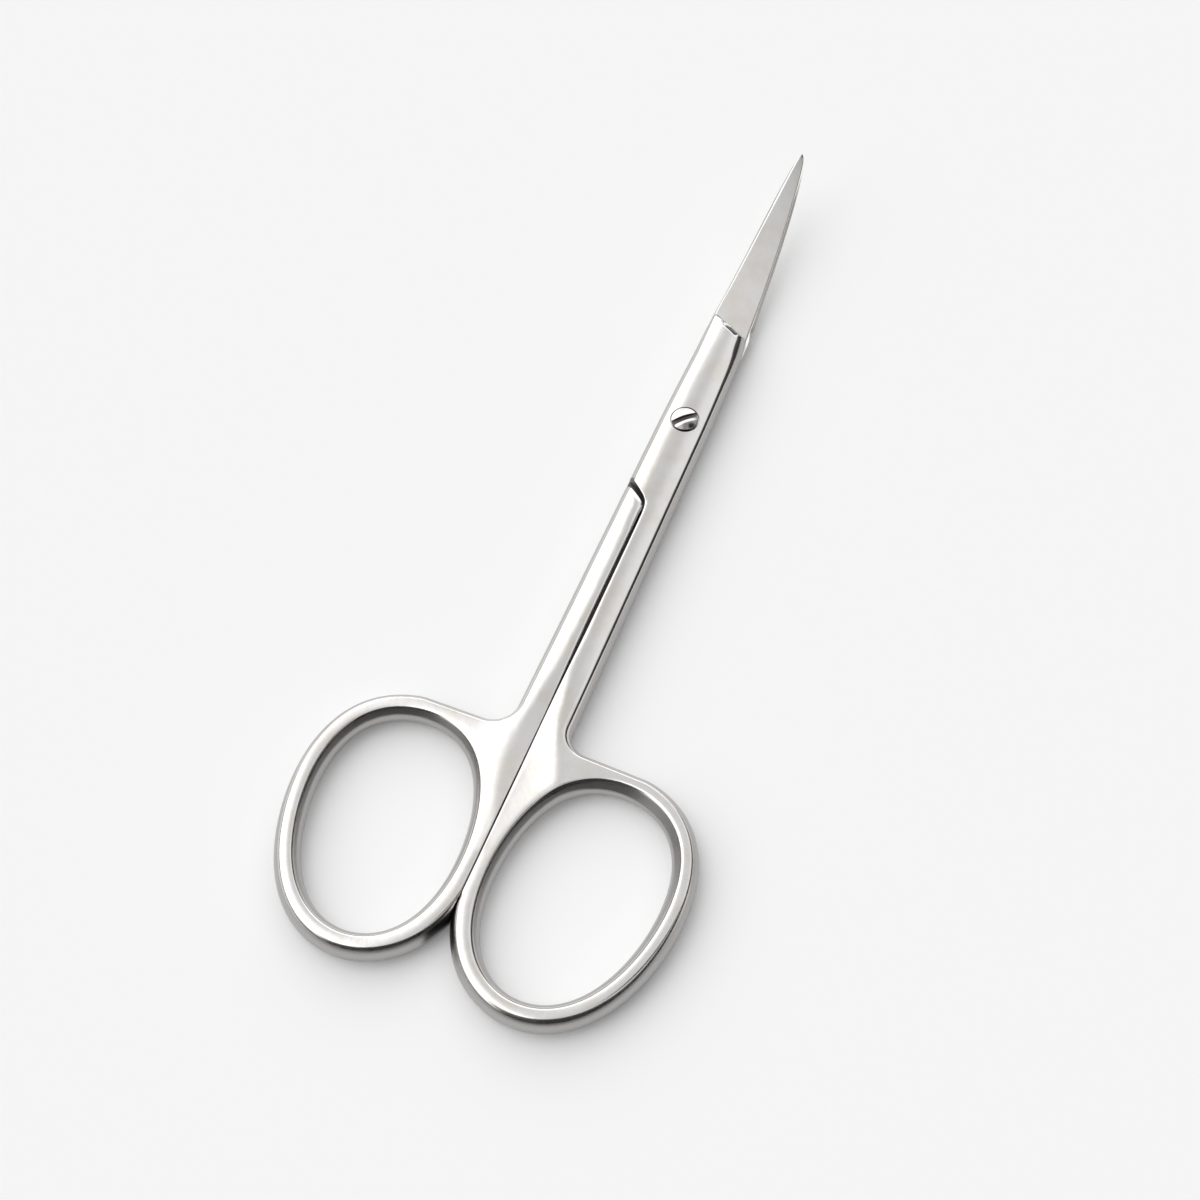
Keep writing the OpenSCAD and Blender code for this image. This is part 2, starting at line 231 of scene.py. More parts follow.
class Plan:
    """The outline and the surfaces that both halves follow, seen from above."""

    # Degrees round the finger hole, from the armpit to the seam, where the outer edge changes

    PIT, FILLET_END, CURVE_START, CURVE_END, SEAM_END = -32.0, -15.2, 1.0, 270.0, 305.0
    SIDE_TURN = 22.4
    PIT_SHARE = 0.62
    ROOT_BACK, ROOT_AHEAD = 1.6, 2.5
    TAPER = (0.02, 0.0008)
    EDGE_IN, BEVEL_IN = 0.3, 0.24
    CROSS_SLOPE, WALL_SLOPE, WALL_LENGTH, NOTCH_ROUND = 1.25, 1.55, 1.84, 0.5

    def __init__(self, sizes: Sizes, inset: float) -> None:
        """Finds where the finger hole lies from its own curve's extents.

        Args:
            sizes: The scissors' sizes.
            inset: How much narrower the top face is on the shank's outer side.
        """
        self.s = sizes
        self.inset = inset
        raw = np.array([self.hole_raw(math.radians(a)) for a in range(0, 360, 2)])
        low = raw.min(axis=0)
        rear = sizes.total_len - sizes.reach
        self.shift = np.array([sizes.wall + sizes.bow_side - rear, sizes.inner_wall]) - low
        self.front_x = float(raw[:, 0].max() + self.shift[0] + sizes.wall)
        fine = np.radians(np.arange(0.0, 360.0, 0.5))
        self.hole_line = np.array([self.hole(a) for a in fine])

    def hole_raw(self, a: float) -> Point:
        """Top edge of the finger hole round its own centre, at angle a."""
        s = self.s
        u = s.hole_len / 2 * math.cos(a) - s.hole_blunt * math.cos(2 * a) - s.hole_full * math.cos(3 * a)
        v = s.hole_w / 2 * math.sin(a) + s.hole_full * math.sin(3 * a)
        c, n = math.cos(s.hole_turn), math.sin(s.hole_turn)
        return np.array([u * c - v * n, u * n + v * c])

    def hole(self, a: float) -> Point:
        """Top edge of the finger hole in its place."""
        return self.hole_raw(a) + self.shift

    def hole_normal(self, a: float) -> Point:
        """Direction out of the finger hole into the bow."""
        d = self.hole_raw(a + 0.01) - self.hole_raw(a - 0.01)
        return np.array([d[1], -d[0]]) / np.linalg.norm(d)

    def slide_z(self, r: float) -> float:
        """Height of the surface the blades slide on, at a distance r from the pivot axis."""
        s = self.s
        if r <= s.curve_start:
            return 0.0
        return s.curve_r - math.sqrt(s.curve_r**2 - (r - s.curve_start) ** 2)

    def top_w(self, x: float) -> float:
        """Half width of the shanks' and plates' top face."""
        s = self.s
        if x < 0:
            return mix(s.pivot_w, s.root_w, x / (self.front_x + self.ROOT_AHEAD))
        return s.pivot_w - self.TAPER[0] * x - self.TAPER[1] * x * x

    def into_blade(self, x: float) -> float:
        """How far the plate's outline has turned into the blade's at x, from 0 to 1."""
        return ease(self.s.shoulder_at - 5, self.s.shoulder_at + 2, x)

    def wide_w(self, x: float) -> float:
        """Half width of the closed scissors at the widest line."""
        s = self.s
        left = (max(0.0, s.reach - x) + 0.02) / (s.reach - s.shoulder_at - 1)
        return mix(self.top_w(x) + s.shank_side, s.blade_w * math.sqrt(left), self.into_blade(x))

    def within(self, x: float, by: float) -> float:
        """The widest line drawn in by that much, less where the blade is narrow."""
        wide = self.wide_w(x)
        return wide - by * min(1.0, wide)

    def back_w(self, x: float) -> float:
        """Edge of the top face on the back's side, away from the half's own bow."""
        return mix(self.top_w(x) - 0.12, self.within(x, self.EDGE_IN), self.into_blade(x))

    def bow_w(self, x: float, ground: bool) -> float:
        """Edge of the outer face on the bow's side; past the shoulder it is the cutting edge."""
        s = self.s
        if ground:
            return self.within(x, self.EDGE_IN)
        narrow = self.EDGE_IN * ease(s.shoulder_at - 5, s.shoulder_at - 0.5, x)
        return self.top_w(x) - self.inset - narrow

    def bow_wide(self, x: float) -> float:
        """Widest line on the bow's side."""
        s = self.s
        to_edge = ease(s.shoulder_at - 2.5, s.shoulder_at + 0.5, x)
        return mix(self.top_w(x) + s.shank_side, self.within(x, self.BEVEL_IN), to_edge)

    def seam_in(self, x: float) -> float:
        """Edge of the plate that crosses over the middle line."""
        return self.s.seam_gap - ramp(x, 0.15 - self.s.notch_at, self.CROSS_SLOPE, self.NOTCH_ROUND)

    def end_wall(self, x: float) -> float:
        """End of the half that the crossing plate passes."""
        return ramp(x, -0.25 - self.s.notch_at, self.WALL_SLOPE, self.NOTCH_ROUND)

    def back_t(self, x: float) -> float:
        """Thickness of a blade's back at x."""
        s = self.s
        start = s.shoulder_at + 1
        share = min(1.0, max(0.0, (x - start) / (s.reach - start)))
        return mix(s.blade_back, s.tip_back, share ** 0.8)

    def fillet(self, r: float, t: float) -> Point:
        """A point on the fillet between bow and shank, from the bow's front, 0, to the shank, 1."""
        a = math.pi / 2 * t
        corner = np.array([self.front_x, self.top_w(self.front_x + r) - self.inset])
        return corner + np.array([r - r * math.cos(a), r - r * math.sin(a)])

    def outer(self, a: float, r: float) -> Point:
        """Outer edge of the top face round the bow.

        Args:
            a: Angle round the finger hole in degrees, from PIT to SEAM_END.
            r: Radius of the fillet between bow and shank.

        Returns:
            The point in plan.
        """
        s = self.s
        if a < self.FILLET_END:
            back = (self.FILLET_END - a) / (self.FILLET_END - self.PIT)
            return self.fillet(r, self.PIT_SHARE * back)
        if a < self.CURVE_START:
            share = (a - self.FILLET_END) / (self.CURVE_START - self.FILLET_END)
            return mix(self.fillet(r, 0.0), self.outer(self.CURVE_START, r), share)
        if a > self.CURVE_END:
            end = np.array([self.front_x - self.ROOT_BACK, s.seam_y])
            share = (a - self.CURVE_END) / (self.SEAM_END - self.CURVE_END)
            return mix(self.outer(self.CURVE_END, r), end, share)
        q = math.radians(a)
        thick = mix(s.wall, s.inner_wall + 0.15, ease(185, 245, a))
        p = self.hole(q) + self.hole_normal(q) * thick
        return np.array([p[0], max(p[1], s.seam_y)])


@dataclass
class Half:
    """One forged half: finger bow, shank, crossing plate and curved blade."""

    name: str
    side: Side
    fillet_r: float
    edge_r: float
    seam_r: float
    inset: float
    ridge_soft: float
    hole_more: float
    sizes: Sizes = Sizes()
    relief: Relief = Relief()
    step: Step = Step()
    across: int = 34
    strips: int = 8
    wall_steps: int = 9
    corner_steps: int = 3
    hole_bevel: float = 0.37
    bevel_slope: float = 1.22
    front_r: float = 0.08
    inner_r: float = 0.05
    back_r: float = 0.12
    ground_r: Pair = (0.1, 0.03)
    seam_open: float = 0.07
    blade_root_t: float = 0.8

    def __post_init__(self) -> None:
        """Prepares the plan and the outer edge's line."""
        plan = self.plan = Plan(self.sizes, self.inset)
        r = self.fillet_r
        rim = [plan.outer(a, r) for a in np.arange(plan.PIT, 262.0, 0.5)]
        fillet = [plan.fillet(r, t) for t in np.arange(plan.PIT_SHARE, 1.0, 0.02)]
        shank = [np.array([x, plan.bow_w(x, False)]) for x in np.arange(plan.front_x + r, -9, 0.1)]
        self.rim_line = np.array(list(reversed(rim)) + fillet + shank)

    @staticmethod
    def _distance(line: Point, p: Point) -> float:
        """Distance in plan from p to a dense line of points."""
        d2 = ((line - p) ** 2).sum(axis=1)
        k = int(d2.argmin())
        best = math.sqrt(d2[k])
        for j in (k - 1, k + 1):
            if 0 <= j < len(line):
                e = line[j] - line[k]
                t = float(np.clip(np.dot(p - line[k], e) / max(1e-12, np.dot(e, e)), 0, 1))
                best = min(best, float(np.linalg.norm(p - line[k] - t * e)))
        return best

    def ridge(self, x: float) -> float:
        """Where the ridge of the shank's root lies across, at x."""
        along, across = zip(*RIDGES[self.side])
        places = [-a for a in along]
        return float(np.mean([np.interp(-x + d, places, across) for d in (-2.0, -1.0, 0, 1.0, 2.0)]))

    def crowned_z(self, p: Point) -> float:
        """Height of the polished top face at a point in plan."""
        s, e, plan, x, v = self.sizes, self.relief, self.plan, p[0], p[1]
        bow = float(ease(*e.bow_zone, x))
        hole = self._distance(plan.hole_line, p) if x < -30 else 9.0
        rim = self._distance(self.rim_line, p) if x < -20 else abs(plan.top_w(x) - v)
        u = abs(v) / plan.top_w(x)
        common = s.crown * (u * u if u < 1 else 2 * u - 1) * (1 - bow)
        z = s.half_t + s.crown - common
        z -= e.bow_drop * bow
        z -= mix(*e.hole_depth, bow) * math.exp(-hole / mix(*e.hole_width, bow))
        z -= mix(*e.rim_depth, ease(*e.rim_zone, x)) * math.exp(-rim / mix(*e.rim_width, bow))
        if x < 1.0 - s.notch_at:
            near = ease(*e.seam_zone, x)
            fall = mix(*e.seam_depth, near) * math.exp(-max(0.0, v) / mix(*e.seam_width, near))
            z -= fall * ease(*e.seam_start, x) * (1 - ease(*e.root_zone, x))
        if x < e.root_zone[0]:
            off = math.hypot(v - self.ridge(x), self.ridge_soft) - self.ridge_soft
            root = s.half_t + s.crown - e.root_drop
            root -= e.ridge_fall * math.tanh(e.ridge_slope * off / e.ridge_fall)
            root -= e.hole_depth[0] * math.exp(-hole / e.hole_width[0])
            root -= e.root_rim[0] * math.exp(-rim / e.root_rim[1])
            near = 1 - ease(5, 8, v) if self.side is Side.UPPER else 0.0
            back = 1 - ease(-42 - 5 * near, -47 - 7 * near, x)
            z = mix(z, root, ease(*e.root_zone, x) * back)
        if self.side is Side.LOWER:
            start, turn = e.wall_zone[0] - s.notch_at, -0.5 - s.notch_at
            if turn > x > start or (x > turn and v > 0.3):
                off = max(0.0, v - plan.end_wall(x)) / plan.WALL_LENGTH
                fall = e.wall_fall * math.exp(-off / e.wall_fall)
                z -= fall * ease(start, e.wall_zone[1] - s.notch_at, x)
        return z

    def _flat_z(self, p: Point) -> float:
        """Height of the flat underside."""
        return -self.sizes.half_t

    def _rounded_wall(self, edge: Point, inward: Point, bulge: Point, r: float,
                      z_top: Surface, z_mid: float, z_low: float, keep_in: bool = False,
                      power: float = 2.0, bevel: float = 0.0) -> Points:
        """One side of a section, from the top face round both edges to the bottom face.

        Args:
            edge: The corner in plan.
            inward: Unit direction in plan from the corner into the piece.
            bulge: How far the widest line stands out from the corner, in plan.
            r: Radius of the rounded edges.
            z_top: Height of the top face as a function of a point in plan.
            z_mid: Height of the widest line.
            z_low: Height of the bottom face.
            keep_in: Whether the wall is held on its own side of the middle line.
            power: How full the wall is above its widest line; 1 makes it a flat bevel.
            bevel: Share of the bulge that a bevel under the top edge takes.

        Returns:
            Points from the start of the top rounding to the end of the bottom one.
        """
        zt = z_top(edge)
        up, down = zt - z_mid, z_mid - z_low
        r_up, r_low = min(r, 0.35 * up), min(r, 0.35 * down)
        level = 1 - self.bevel_slope * bevel * float(np.linalg.norm(bulge)) / up

        def at(off: Point, z: float) -> Point:
            """The point that far off the corner, at height z."""
            p = edge + off
            return np.array([p[0], max(p[1], self.sizes.seam_y) if keep_in else p[1], z])

        def wall(u: float) -> Point:
            """The wall's point at u: 1 on the top face, 0 on the widest line, -1 at the bottom."""
            if bevel and u > level:
                out = bevel * (1 - u) / (1 - level)
            elif bevel and u > 0:
                out = bevel + (1 - bevel) * (1 - (u / level) ** 2)
            else:
                out = 1 - abs(u) ** (power if u > 0 else 2.0)
            return at(bulge * out, z_mid + (up if u > 0 else down) * u)

        p = edge + inward * r_up
        top = np.array([*p, z_top(p)])
        p = edge + inward * r_low
        low = np.array([*p, z_low])
        u_top, u_low = 1 - r_up / up, -1 + r_low / down
        steps = [mix(u_top, u_low, k / self.wall_steps) for k in range(self.wall_steps + 1)]
        if bevel:
            count = self.wall_steps - 4
            low_steps = [mix(level - 0.1, u_low, k / count) for k in range(count + 1)]
            steps = [u_top, mix(u_top, level, 0.5), level + 0.02, level - 0.02, *low_steps]
        body = [wall(u) for u in steps]
        return [top, *arc(top, at(np.zeros(2), zt), body[0], self.corner_steps), *body,
                *arc(body[-1], at(np.zeros(2), z_low), low, self.corner_steps), low]

    def _plain_wall(self, edge: Point, inward: Point, bulge: Point, r: float,
                    keep_in: bool = True, bevel: float = 0.0) -> Points:
        """One side between the polished top face and the flat underside."""
        return self._rounded_wall(edge, inward, bulge, r, self.crowned_z, 0.0, -self.sizes.half_t,
                                  keep_in, bevel=bevel)

    def _hole_wall(self, q: float) -> Points:
        """The finger hole's side at angle q in radians, whose bevel is widest towards the shank."""
        normal = self.plan.hole_normal(q)
        wider = self.hole_more * (1 + math.cos(q)) / 2
        side = self.sizes.bow_side + wider
        return self._plain_wall(self.plan.hole(q) + normal * wider, normal, -normal * side,
                                min(self.edge_r, 0.14), False, (self.hole_bevel + wider) / side)

    def _across(self, a: Point, b: Point, count: int, height: Surface) -> Points:
        """Points on a face between two of its points, both left out."""
        plan = [mix(a[:2], b[:2], k / count) for k in range(1, count)]
        return [np.array([*p, height(p)]) for p in plan]

    def _over_bow(self, start: Point, end: Point, q: float) -> Points:
        """Points from start over the top face, down the hole's side at q and along the bottom."""
        inner = self._hole_wall(q)
        top = self._across(start, inner[0], self.strips, self.crowned_z)
        return [start, *top, *inner, *self._across(inner[-1], end, 3, self._flat_z), end]

    def bow_section(self, a: float) -> tuple[Points, Points]:
        """One section of the bow.

        Args:
            a: Angle round the finger hole in degrees.

        Returns:
            The points from the outer rounding's start over the top face, down the hole's side and
            along the bottom, and the outer side's points from top to bottom.
        """
        s, plan, r = self.sizes, self.plan, self.fillet_r
        o = plan.outer(a, r)
        d = plan.outer(min(plan.SEAM_END, a + 0.2), r) - plan.outer(max(plan.PIT, a - 0.2), r)
        n = np.array([d[1], -d[0]]) / max(1e-9, np.linalg.norm(d))
        share = min(1.0, (a - plan.PIT) / plan.SIDE_TURN)
        side = mix(s.shank_side + plan.inset, s.bow_side, share)
        front = float(ease(-28, -12, a) * (1 - ease(60, 130, a)))
        round_r = mix(self.edge_r, min(self.edge_r, self.front_r), front)
        if o[1] <= s.seam_y + 1e-6:
            round_r = self.inner_r
        outer = self._plain_wall(o, -n, n * side, round_r)
        return self._over_bow(outer[0], outer[-1], math.radians(a)), outer

    def root_row(self, k: int, seam_end: Points, pit_end: Points) -> Points:
        """One row of the root, where the shank joins the bow.

        Args:
            k: Which row, from the seam, 0, to the armpit.
            seam_end: The outer side at the seam.
            pit_end: The outer side in the armpit.

        Returns:
            Points from the root line over the top face, down the hole's side and along the bottom.
        """
        t = k / self.across
        q = math.radians(mix(self.plan.SEAM_END - 360, self.plan.PIT, t))
        start, end = (mix(seam_end[j][:2], pit_end[j][:2], t) for j in (0, -1))
        return self._over_bow(np.array([*start, self.crowned_z(start)]),
                              np.array([*end, self._flat_z(end)]), q)

    def _loop(self, seam: Points, pit: Points, z_top: Surface, z_low: Surface) -> Points:
        """A closed section of the shank from its two sides, its first point given again at the end."""
        top = self._across(seam[0], pit[0], self.across, z_top)
        low = self._across(pit[-1], seam[-1], self.across, z_low)
        return [seam[0], *top, *pit, *low, *reversed(seam[1:]), seam[0]]

    def fillet_section(self, t: float) -> Points:
        """A section of the shank's root that ends on the fillet at t."""
        s, plan = self.sizes, self.plan
        share = (t - plan.PIT_SHARE) / (1 - plan.PIT_SHARE)
        x = mix(plan.front_x - plan.ROOT_BACK, plan.front_x + self.fillet_r, share)
        n = np.array([math.cos(math.pi / 2 * t), math.sin(math.pi / 2 * t)])
        seam = self._plain_wall(np.array([x, s.seam_y]), np.array([0.0, 1.0]), np.zeros(2), self.inner_r)
        pit = self._plain_wall(plan.fillet(self.fillet_r, t), -n, n * (s.shank_side + plan.inset),
                               self.edge_r)
        return self._loop(seam, pit, self.crowned_z, self._flat_z)

    def cross_section(self, x: float, ground: float) -> Points:
        """A section of the shank, plate or blade.

        Args:
            x: Where the section crosses the middle line.
            ground: 0 before the shoulder, 1 past it, between them on the step itself.

        Returns:
            The closed section's points.
        """
        s, plan, up, at = self.sizes, self.plan, self.side is Side.UPPER, self.sizes.shoulder_at
        crossed = x > 2.9 - s.notch_at
        lean = s.shoulder_slant * float(ease(at - 3.5, at - 1.4, x) * (1 - ease(at + 0.4, at + 5, x)))
        opened = ease(plan.front_x + plan.ROOT_AHEAD, plan.front_x + 14.5, x)
        inner = mix(s.seam_y, plan.seam_in(x), opened)
        inner += self.seam_open * float(opened * (1 - ease(-s.notch_at - 1.2, -s.notch_at + 0.4, x)))
        v0, v0w = max(inner, -plan.back_w(x)), max(inner, -plan.wide_w(x))
        turn_at = plan.bow_w(x, False)
        v1 = mix(turn_at, plan.bow_w(x, True), ground)
        cut_t = mix(s.half_t, self.blade_root_t, ease(0, at - 2, x))
        broken = 0.0 if up else float(ease(at - 2, at + 0.5, x)) * min(1.0, plan.wide_w(x))

        def spot(v: float) -> Point:
            """The section's place in plan at v, slanted at the shoulder."""
            past = max(0.0, v - turn_at)
            return np.array([x - lean * (v - 2.2 * past), v])

        def slide(p: Point) -> float:
            """Height of the surface that the blades slide on."""
            return plan.slide_z(p[0])

        def share(p: Point) -> float:
            """How far p lies from the back, 0, to the cutting side, 1."""
            return float(np.clip((p[1] - v0) / max(1e-6, v1 - v0), 0, 1))

        def thick(p: Point) -> float:
            """The ground blade's thickness."""
            return mix(plan.back_t(x), s.edge_t, share(p))

        def z_top(p: Point) -> float:
            """Height of the section's top: polished, ground, or cut away for the other half."""
            if not up and crossed:
                return slide(p) + mix(cut_t, s.edge_t, min(1.0, broken))
            full = self.crowned_z(p)
            if x < at - 1.5 or not up:
                return full
            worn = slide(p) + thick(p) + self.step.run_out(x - at)
            return worn if x > at else min(full - self.step.chamfer(x - at, share(p)), worn)

        def z_low(p: Point) -> float:
            """Height of the section's underside."""
            if up:
                return slide(p) - cut_t
            return mix(-s.half_t, slide(p) - thick(p), ground) if crossed else -s.half_t

        in_r = self.seam_r * float(ease(-36, -27, x)) + self.inner_r if v0 > -0.5 else self.back_r
        out_r = self.edge_r * (1 + 0.6 * float(ease(2, at - 0.5, x)) * (1 - ground))
        if ground > 0.5:
            in_r, out_r = self.ground_r
        pa, pb, most = spot(v0), spot(v1), 0.3 * (v1 - v0)
        seam = self._rounded_wall(pa, np.array([0.0, 1.0]), spot(v0w) - pa, min(in_r, most), z_top,
                                  slide(pa) - 0.3 * broken, z_low(pa), power=2.0 - min(1.0, broken))
        pit = self._rounded_wall(pb, np.array([0.0, -1.0]), spot(plan.bow_wide(x)) - pb,
                                 min(out_r, most), z_top, slide(pb), z_low(pb))
        return self._loop(seam, pit, z_top, z_low)

    def stations(self) -> list[Pair]:
        """Where the shank, plate and blade have their sections, and how far each is ground."""
        s, front, at = self.sizes, self.plan.front_x, self.sizes.shoulder_at
        plain = [*np.linspace(front + 4.2, -15.0, 34), *np.linspace(-14.4, -12.6, 5),
                 *np.linspace(-12.3, -7.1, 40), *np.linspace(-6.6, at - 0.6, 34)]
        step = (-0.5, -0.43, -0.41, -0.3, -0.22, -0.17, -0.13, -0.09, -0.05, -0.02, 0.0, 0.03, 0.07,
                0.11, 0.14, 0.18, 0.23, 0.28, 0.33, 0.4)
        blade = [at + 0.5 + (s.reach - at - 0.5) * (1 - (1 - t) ** 1.5) for t in np.linspace(0, 1, 60)]
        edge = [(at + d, float(ease(-0.16, 0.02, d))) for d in step]
        return [(float(x), 0.0) for x in plain] + edge + [(float(x), 1.0) for x in blade]

    def _sheet(self, rows: list[Points], label: str) -> Object:
        """A grid primitive whose vertices are drawn out to the rows of points.

        Args:
            rows: The points, one list for each row.
            label: The name of the sheet.

        Returns:
            The sheet as an object, in millimetres.
        """
        n_row, n_col = len(rows), len(rows[0])
        bpy.ops.mesh.primitive_grid_add(x_subdivisions=n_col - 1, y_subdivisions=n_row - 1, size=1.0)
        sheet = bpy.context.object
        sheet.name = label
        target = np.array(rows, dtype=float)
        flip = self.side.value
        for vert in sheet.data.vertices:
            col = round((vert.co.x + 0.5) * (n_col - 1))
            row = round((vert.co.y + 0.5) * (n_row - 1))
            x, v, z = target[row][col]
            vert.co = (x, -v * flip, z)
        return sheet

    def _cutter(self) -> Object:
        """The room that the other half needs, up to the surface the blades slide on."""
        s, plan, way = self.sizes, self.plan, self.side.value
        turn = 2.6 - s.notch_at
        rows = []
        for x in (*np.linspace(-s.notch_at - 2.6, turn, 40), *np.linspace(3.4 - s.notch_at, 45.0, 70)):
            line = [mix(-9.0, plan.end_wall(min(x, turn)), t) for t in np.linspace(0, 1, 16)]
            rows.append([np.array([x, v, plan.slide_z(math.hypot(x, v)) + way * s.slide_gap]) for v in line])
        cutter = self._sheet(rows, "room")
        with whole_mesh():
            bpy.ops.mesh.extrude_region_move(TRANSFORM_OT_translate={"value": (0, 0, -way * 30.0)})
            turn_outwards()
        return cutter

    def _bores(self) -> list[Object]:
        """The tools that cut the pivot's bore and seat, or the tapped hole."""
        s, clear = self.sizes, 3.0
        if self.side is Side.LOWER:
            return [rod(s.thread_d / 2 + s.thread_gap, -clear, 2.0)]
        return [rod(s.journal_d / 2 + s.journal_gap, -2.0, clear),
                rod(s.head_d / 2 + s.seat_gap, s.half_t - s.seat_d, clear, 0.25)]

    def build(self) -> Object:
        """Builds the half's mesh in the row frame.

        Returns:
            The finished object, at the origin.
        """
        clear_selection()
        plan = self.plan
        ring, sides = [], []
        for a in (*np.linspace(plan.PIT, -4, 16), *np.linspace(-2.4, 268.5, 170),
                  *np.linspace(plan.CURVE_END, plan.SEAM_END, 15)):
            inner, outer = self.bow_section(float(a))
            ring.append([*inner, *reversed(outer[:-1])])
            sides.append(outer)
        root = [self.root_row(k, sides[-1], sides[0]) for k in range(self.across + 1)]
        first, last = [row[0] for row in root], [row[-1] for row in root]
        loops = [[*first[:-1], *sides[0], *reversed(last[1:-1]), *reversed(sides[-1][1:]), first[0]]]
        loops += [self.fillet_section(t) for t in (0.68, 0.74, 0.8, 0.86, 0.92, 0.97, 1.0)]
        loops += [self.cross_section(x, g) for x, g in self.stations()]
        half = joined([self._sheet(ring, "bow"), self._sheet(root, "root"), self._sheet(loops, "shank")],
                      self.name)
        with whole_mesh():
            bpy.ops.mesh.remove_doubles(threshold=0.0004)
            bpy.ops.mesh.select_all(action="DESELECT")
            bpy.ops.mesh.select_mode(type="EDGE")
            bpy.ops.mesh.select_non_manifold()
            bpy.ops.mesh.edge_face_add()
            turn_outwards()
        for tool in [self._cutter(), *self._bores()]:
            cut(half, tool)
        finish_piece(half, self.sizes)
        return half

    def dress(self, piece: Object) -> int:
        """Gives the half its polished faces and its ground ones.

        Args:
            piece: The half's object.

        Returns:
            How many faces are ground.
        """
        s, plan, way = self.sizes, self.plan, self.side.value
        middle, notch = plan.hole_line.mean(axis=0), s.pivot_x - s.notch_at
        centre = (float(middle[0]) + s.pivot_x, -float(middle[1]) * way)
        # The polished steel carries painted shade: a darker tone on the walls, and darkening in the seam and
        # the shoulder's slit.
        polished = Steel("polished_" + self.name, Grain.ALONG, (0.70, 0.69, 0.68), (0.67, 0.64, 0.60),
                         0.14, 0.06, 0.012, 0.0012, centre, bow_satin=0.08)
        # The ground steel carries painted shade near the notch, where the halves overlap.
        ground = Steel("ground_" + self.name, Grain.ACROSS, (0.84, 0.83, 0.81), (0.79, 0.75, 0.71),
                       0.42, 0.1, 0.002, 0.003, wall_zone=NOWHERE, shade_end=(notch + 1.8, notch + 3.6))
        piece.data.materials.append(polished.material())
        piece.data.materials.append(ground.material())
        count = 0
        for face in piece.data.polygons:
            x, y, z = face.center / MM - Vector((s.pivot_x, 0.0, s.half_t))
            v, rise = -y * way, face.normal.z * way
            slides = rise < -0.8 and abs(z - plan.slide_z(math.hypot(x, y))) < 0.1
            if self.side is Side.LOWER:
                by_wall = abs(v - plan.end_wall(x)) < 0.06
            else:
                by_wall = abs(v - plan.seam_in(x)) < 0.3 and v < 0.02
            corner = abs(rise) < 0.5 and -12.7 < x < -6.8 and by_wall
            blade = x > s.shoulder_at - s.shoulder_slant * v + 0.3 and rise > 0.75
            if x > -4.0 - s.notch_at and (slides or blade or corner):
                face.material_index = 1
                count += 1
        return count


@contextmanager
def whole_mesh() -> Iterator[None]:
    """Edit mode on the active object, which starts with the whole mesh selected."""
    bpy.ops.object.mode_set(mode="EDIT")
    bpy.ops.mesh.select_all(action="SELECT")
    yield
    bpy.ops.object.mode_set(mode="OBJECT")


def turn_outwards() -> None:
    """Turns all normals of the mesh in edit mode outwards."""
    bpy.ops.mesh.select_all(action="SELECT")
    bpy.ops.mesh.normals_make_consistent(inside=False)


def clear_selection() -> None:
    """Leaves edit mode and deselects everything."""
    if bpy.context.object and bpy.context.object.mode != "OBJECT":
        bpy.ops.object.mode_set(mode="OBJECT")
    bpy.ops.object.select_all(action="DESELECT")


def pick(piece: Object) -> None:
    """Makes the piece the only selected and active object."""
    clear_selection()
    piece.select_set(True)
    bpy.context.view_layer.objects.active = piece


def apply_place(piece: Object) -> None:
    """Moves the object's place, turn and size into its mesh."""
    pick(piece)
    bpy.ops.object.transform_apply(location=True, rotation=True, scale=True)


def rod(radius: float, low: float, high: float, flare: float = 0.0, sides: int = 96) -> Object:
    """A cylinder on the pivot axis.

    Args:
        radius: Its radius.
        low: Height of its lower end.
        high: Height of its upper end.
        flare: How much wider its upper end is.
        sides: How many sides it has.

    Returns:
        The cylinder as an object.
    """
    clear_selection()
    bpy.ops.mesh.primitive_cylinder_add(vertices=sides, radius=radius, depth=high - low,
                                        location=(0, 0, (low + high) / 2))
    made = bpy.context.object
    apply_place(made)
    for vert in made.data.vertices:
        if flare and vert.co.z > (low + high) / 2:
            vert.co.x *= 1 + flare
            vert.co.y *= 1 + flare
    return made


def box(size: Triple, middle: float, turn: float) -> Object:
    """A box round the pivot axis: its size, its middle's height and its turn."""
    clear_selection()
    bpy.ops.mesh.primitive_cube_add(size=1.0, location=(0, 0, middle))
    made = bpy.context.object
    made.scale = size
    made.rotation_euler = (0, 0, turn)
    apply_place(made)
    return made


def joined(parts: list[Object], name: str) -> Object:
    """Joins the parts into one object of that name."""
    clear_selection()
    for part in parts:
        part.select_set(True)
    bpy.context.view_layer.objects.active = parts[0]
    bpy.ops.object.join()
    whole = bpy.context.object
    whole.name = whole.data.name = name
    return whole


def cut(piece: Object, tool: Object) -> None:
    """Cuts the tool's shape out of the piece and removes the tool."""
    pick(piece)
    modifier = piece.modifiers.new("cut", "BOOLEAN")
    modifier.operation = "DIFFERENCE"
    modifier.solver = "EXACT"
    modifier.object = tool
    bpy.ops.object.modifier_apply(modifier=modifier.name)
    bpy.data.objects.remove(tool)


def finish_piece(piece: Object, sizes: Sizes, angle: float = 34.0) -> None:
    """Moves a piece from the pivot's frame in millimetres to the row frame in metres, and smooths it."""
    piece.data.transform(Matrix.Translation((sizes.pivot_x, 0.0, sizes.half_t)))
    piece.data.transform(Matrix.Scale(MM, 4))
    piece.data.update()
    pick(piece)
    bpy.ops.object.shade_smooth_by_angle(angle=math.radians(angle))


def operator(operation: str, swapped: bool = False) -> Callable:
    """An operator of Signal that adds one Math node, with its two inputs swapped if asked."""
    def joint(self: "Signal", other: "Signal | float") -> "Signal":
        """The node's result from this and the other."""
        inputs = (other, self) if swapped else (self, other)
        return node(self.tree, "ShaderNodeMath", {"operation": operation}, dict(enumerate(inputs)))
    return joint


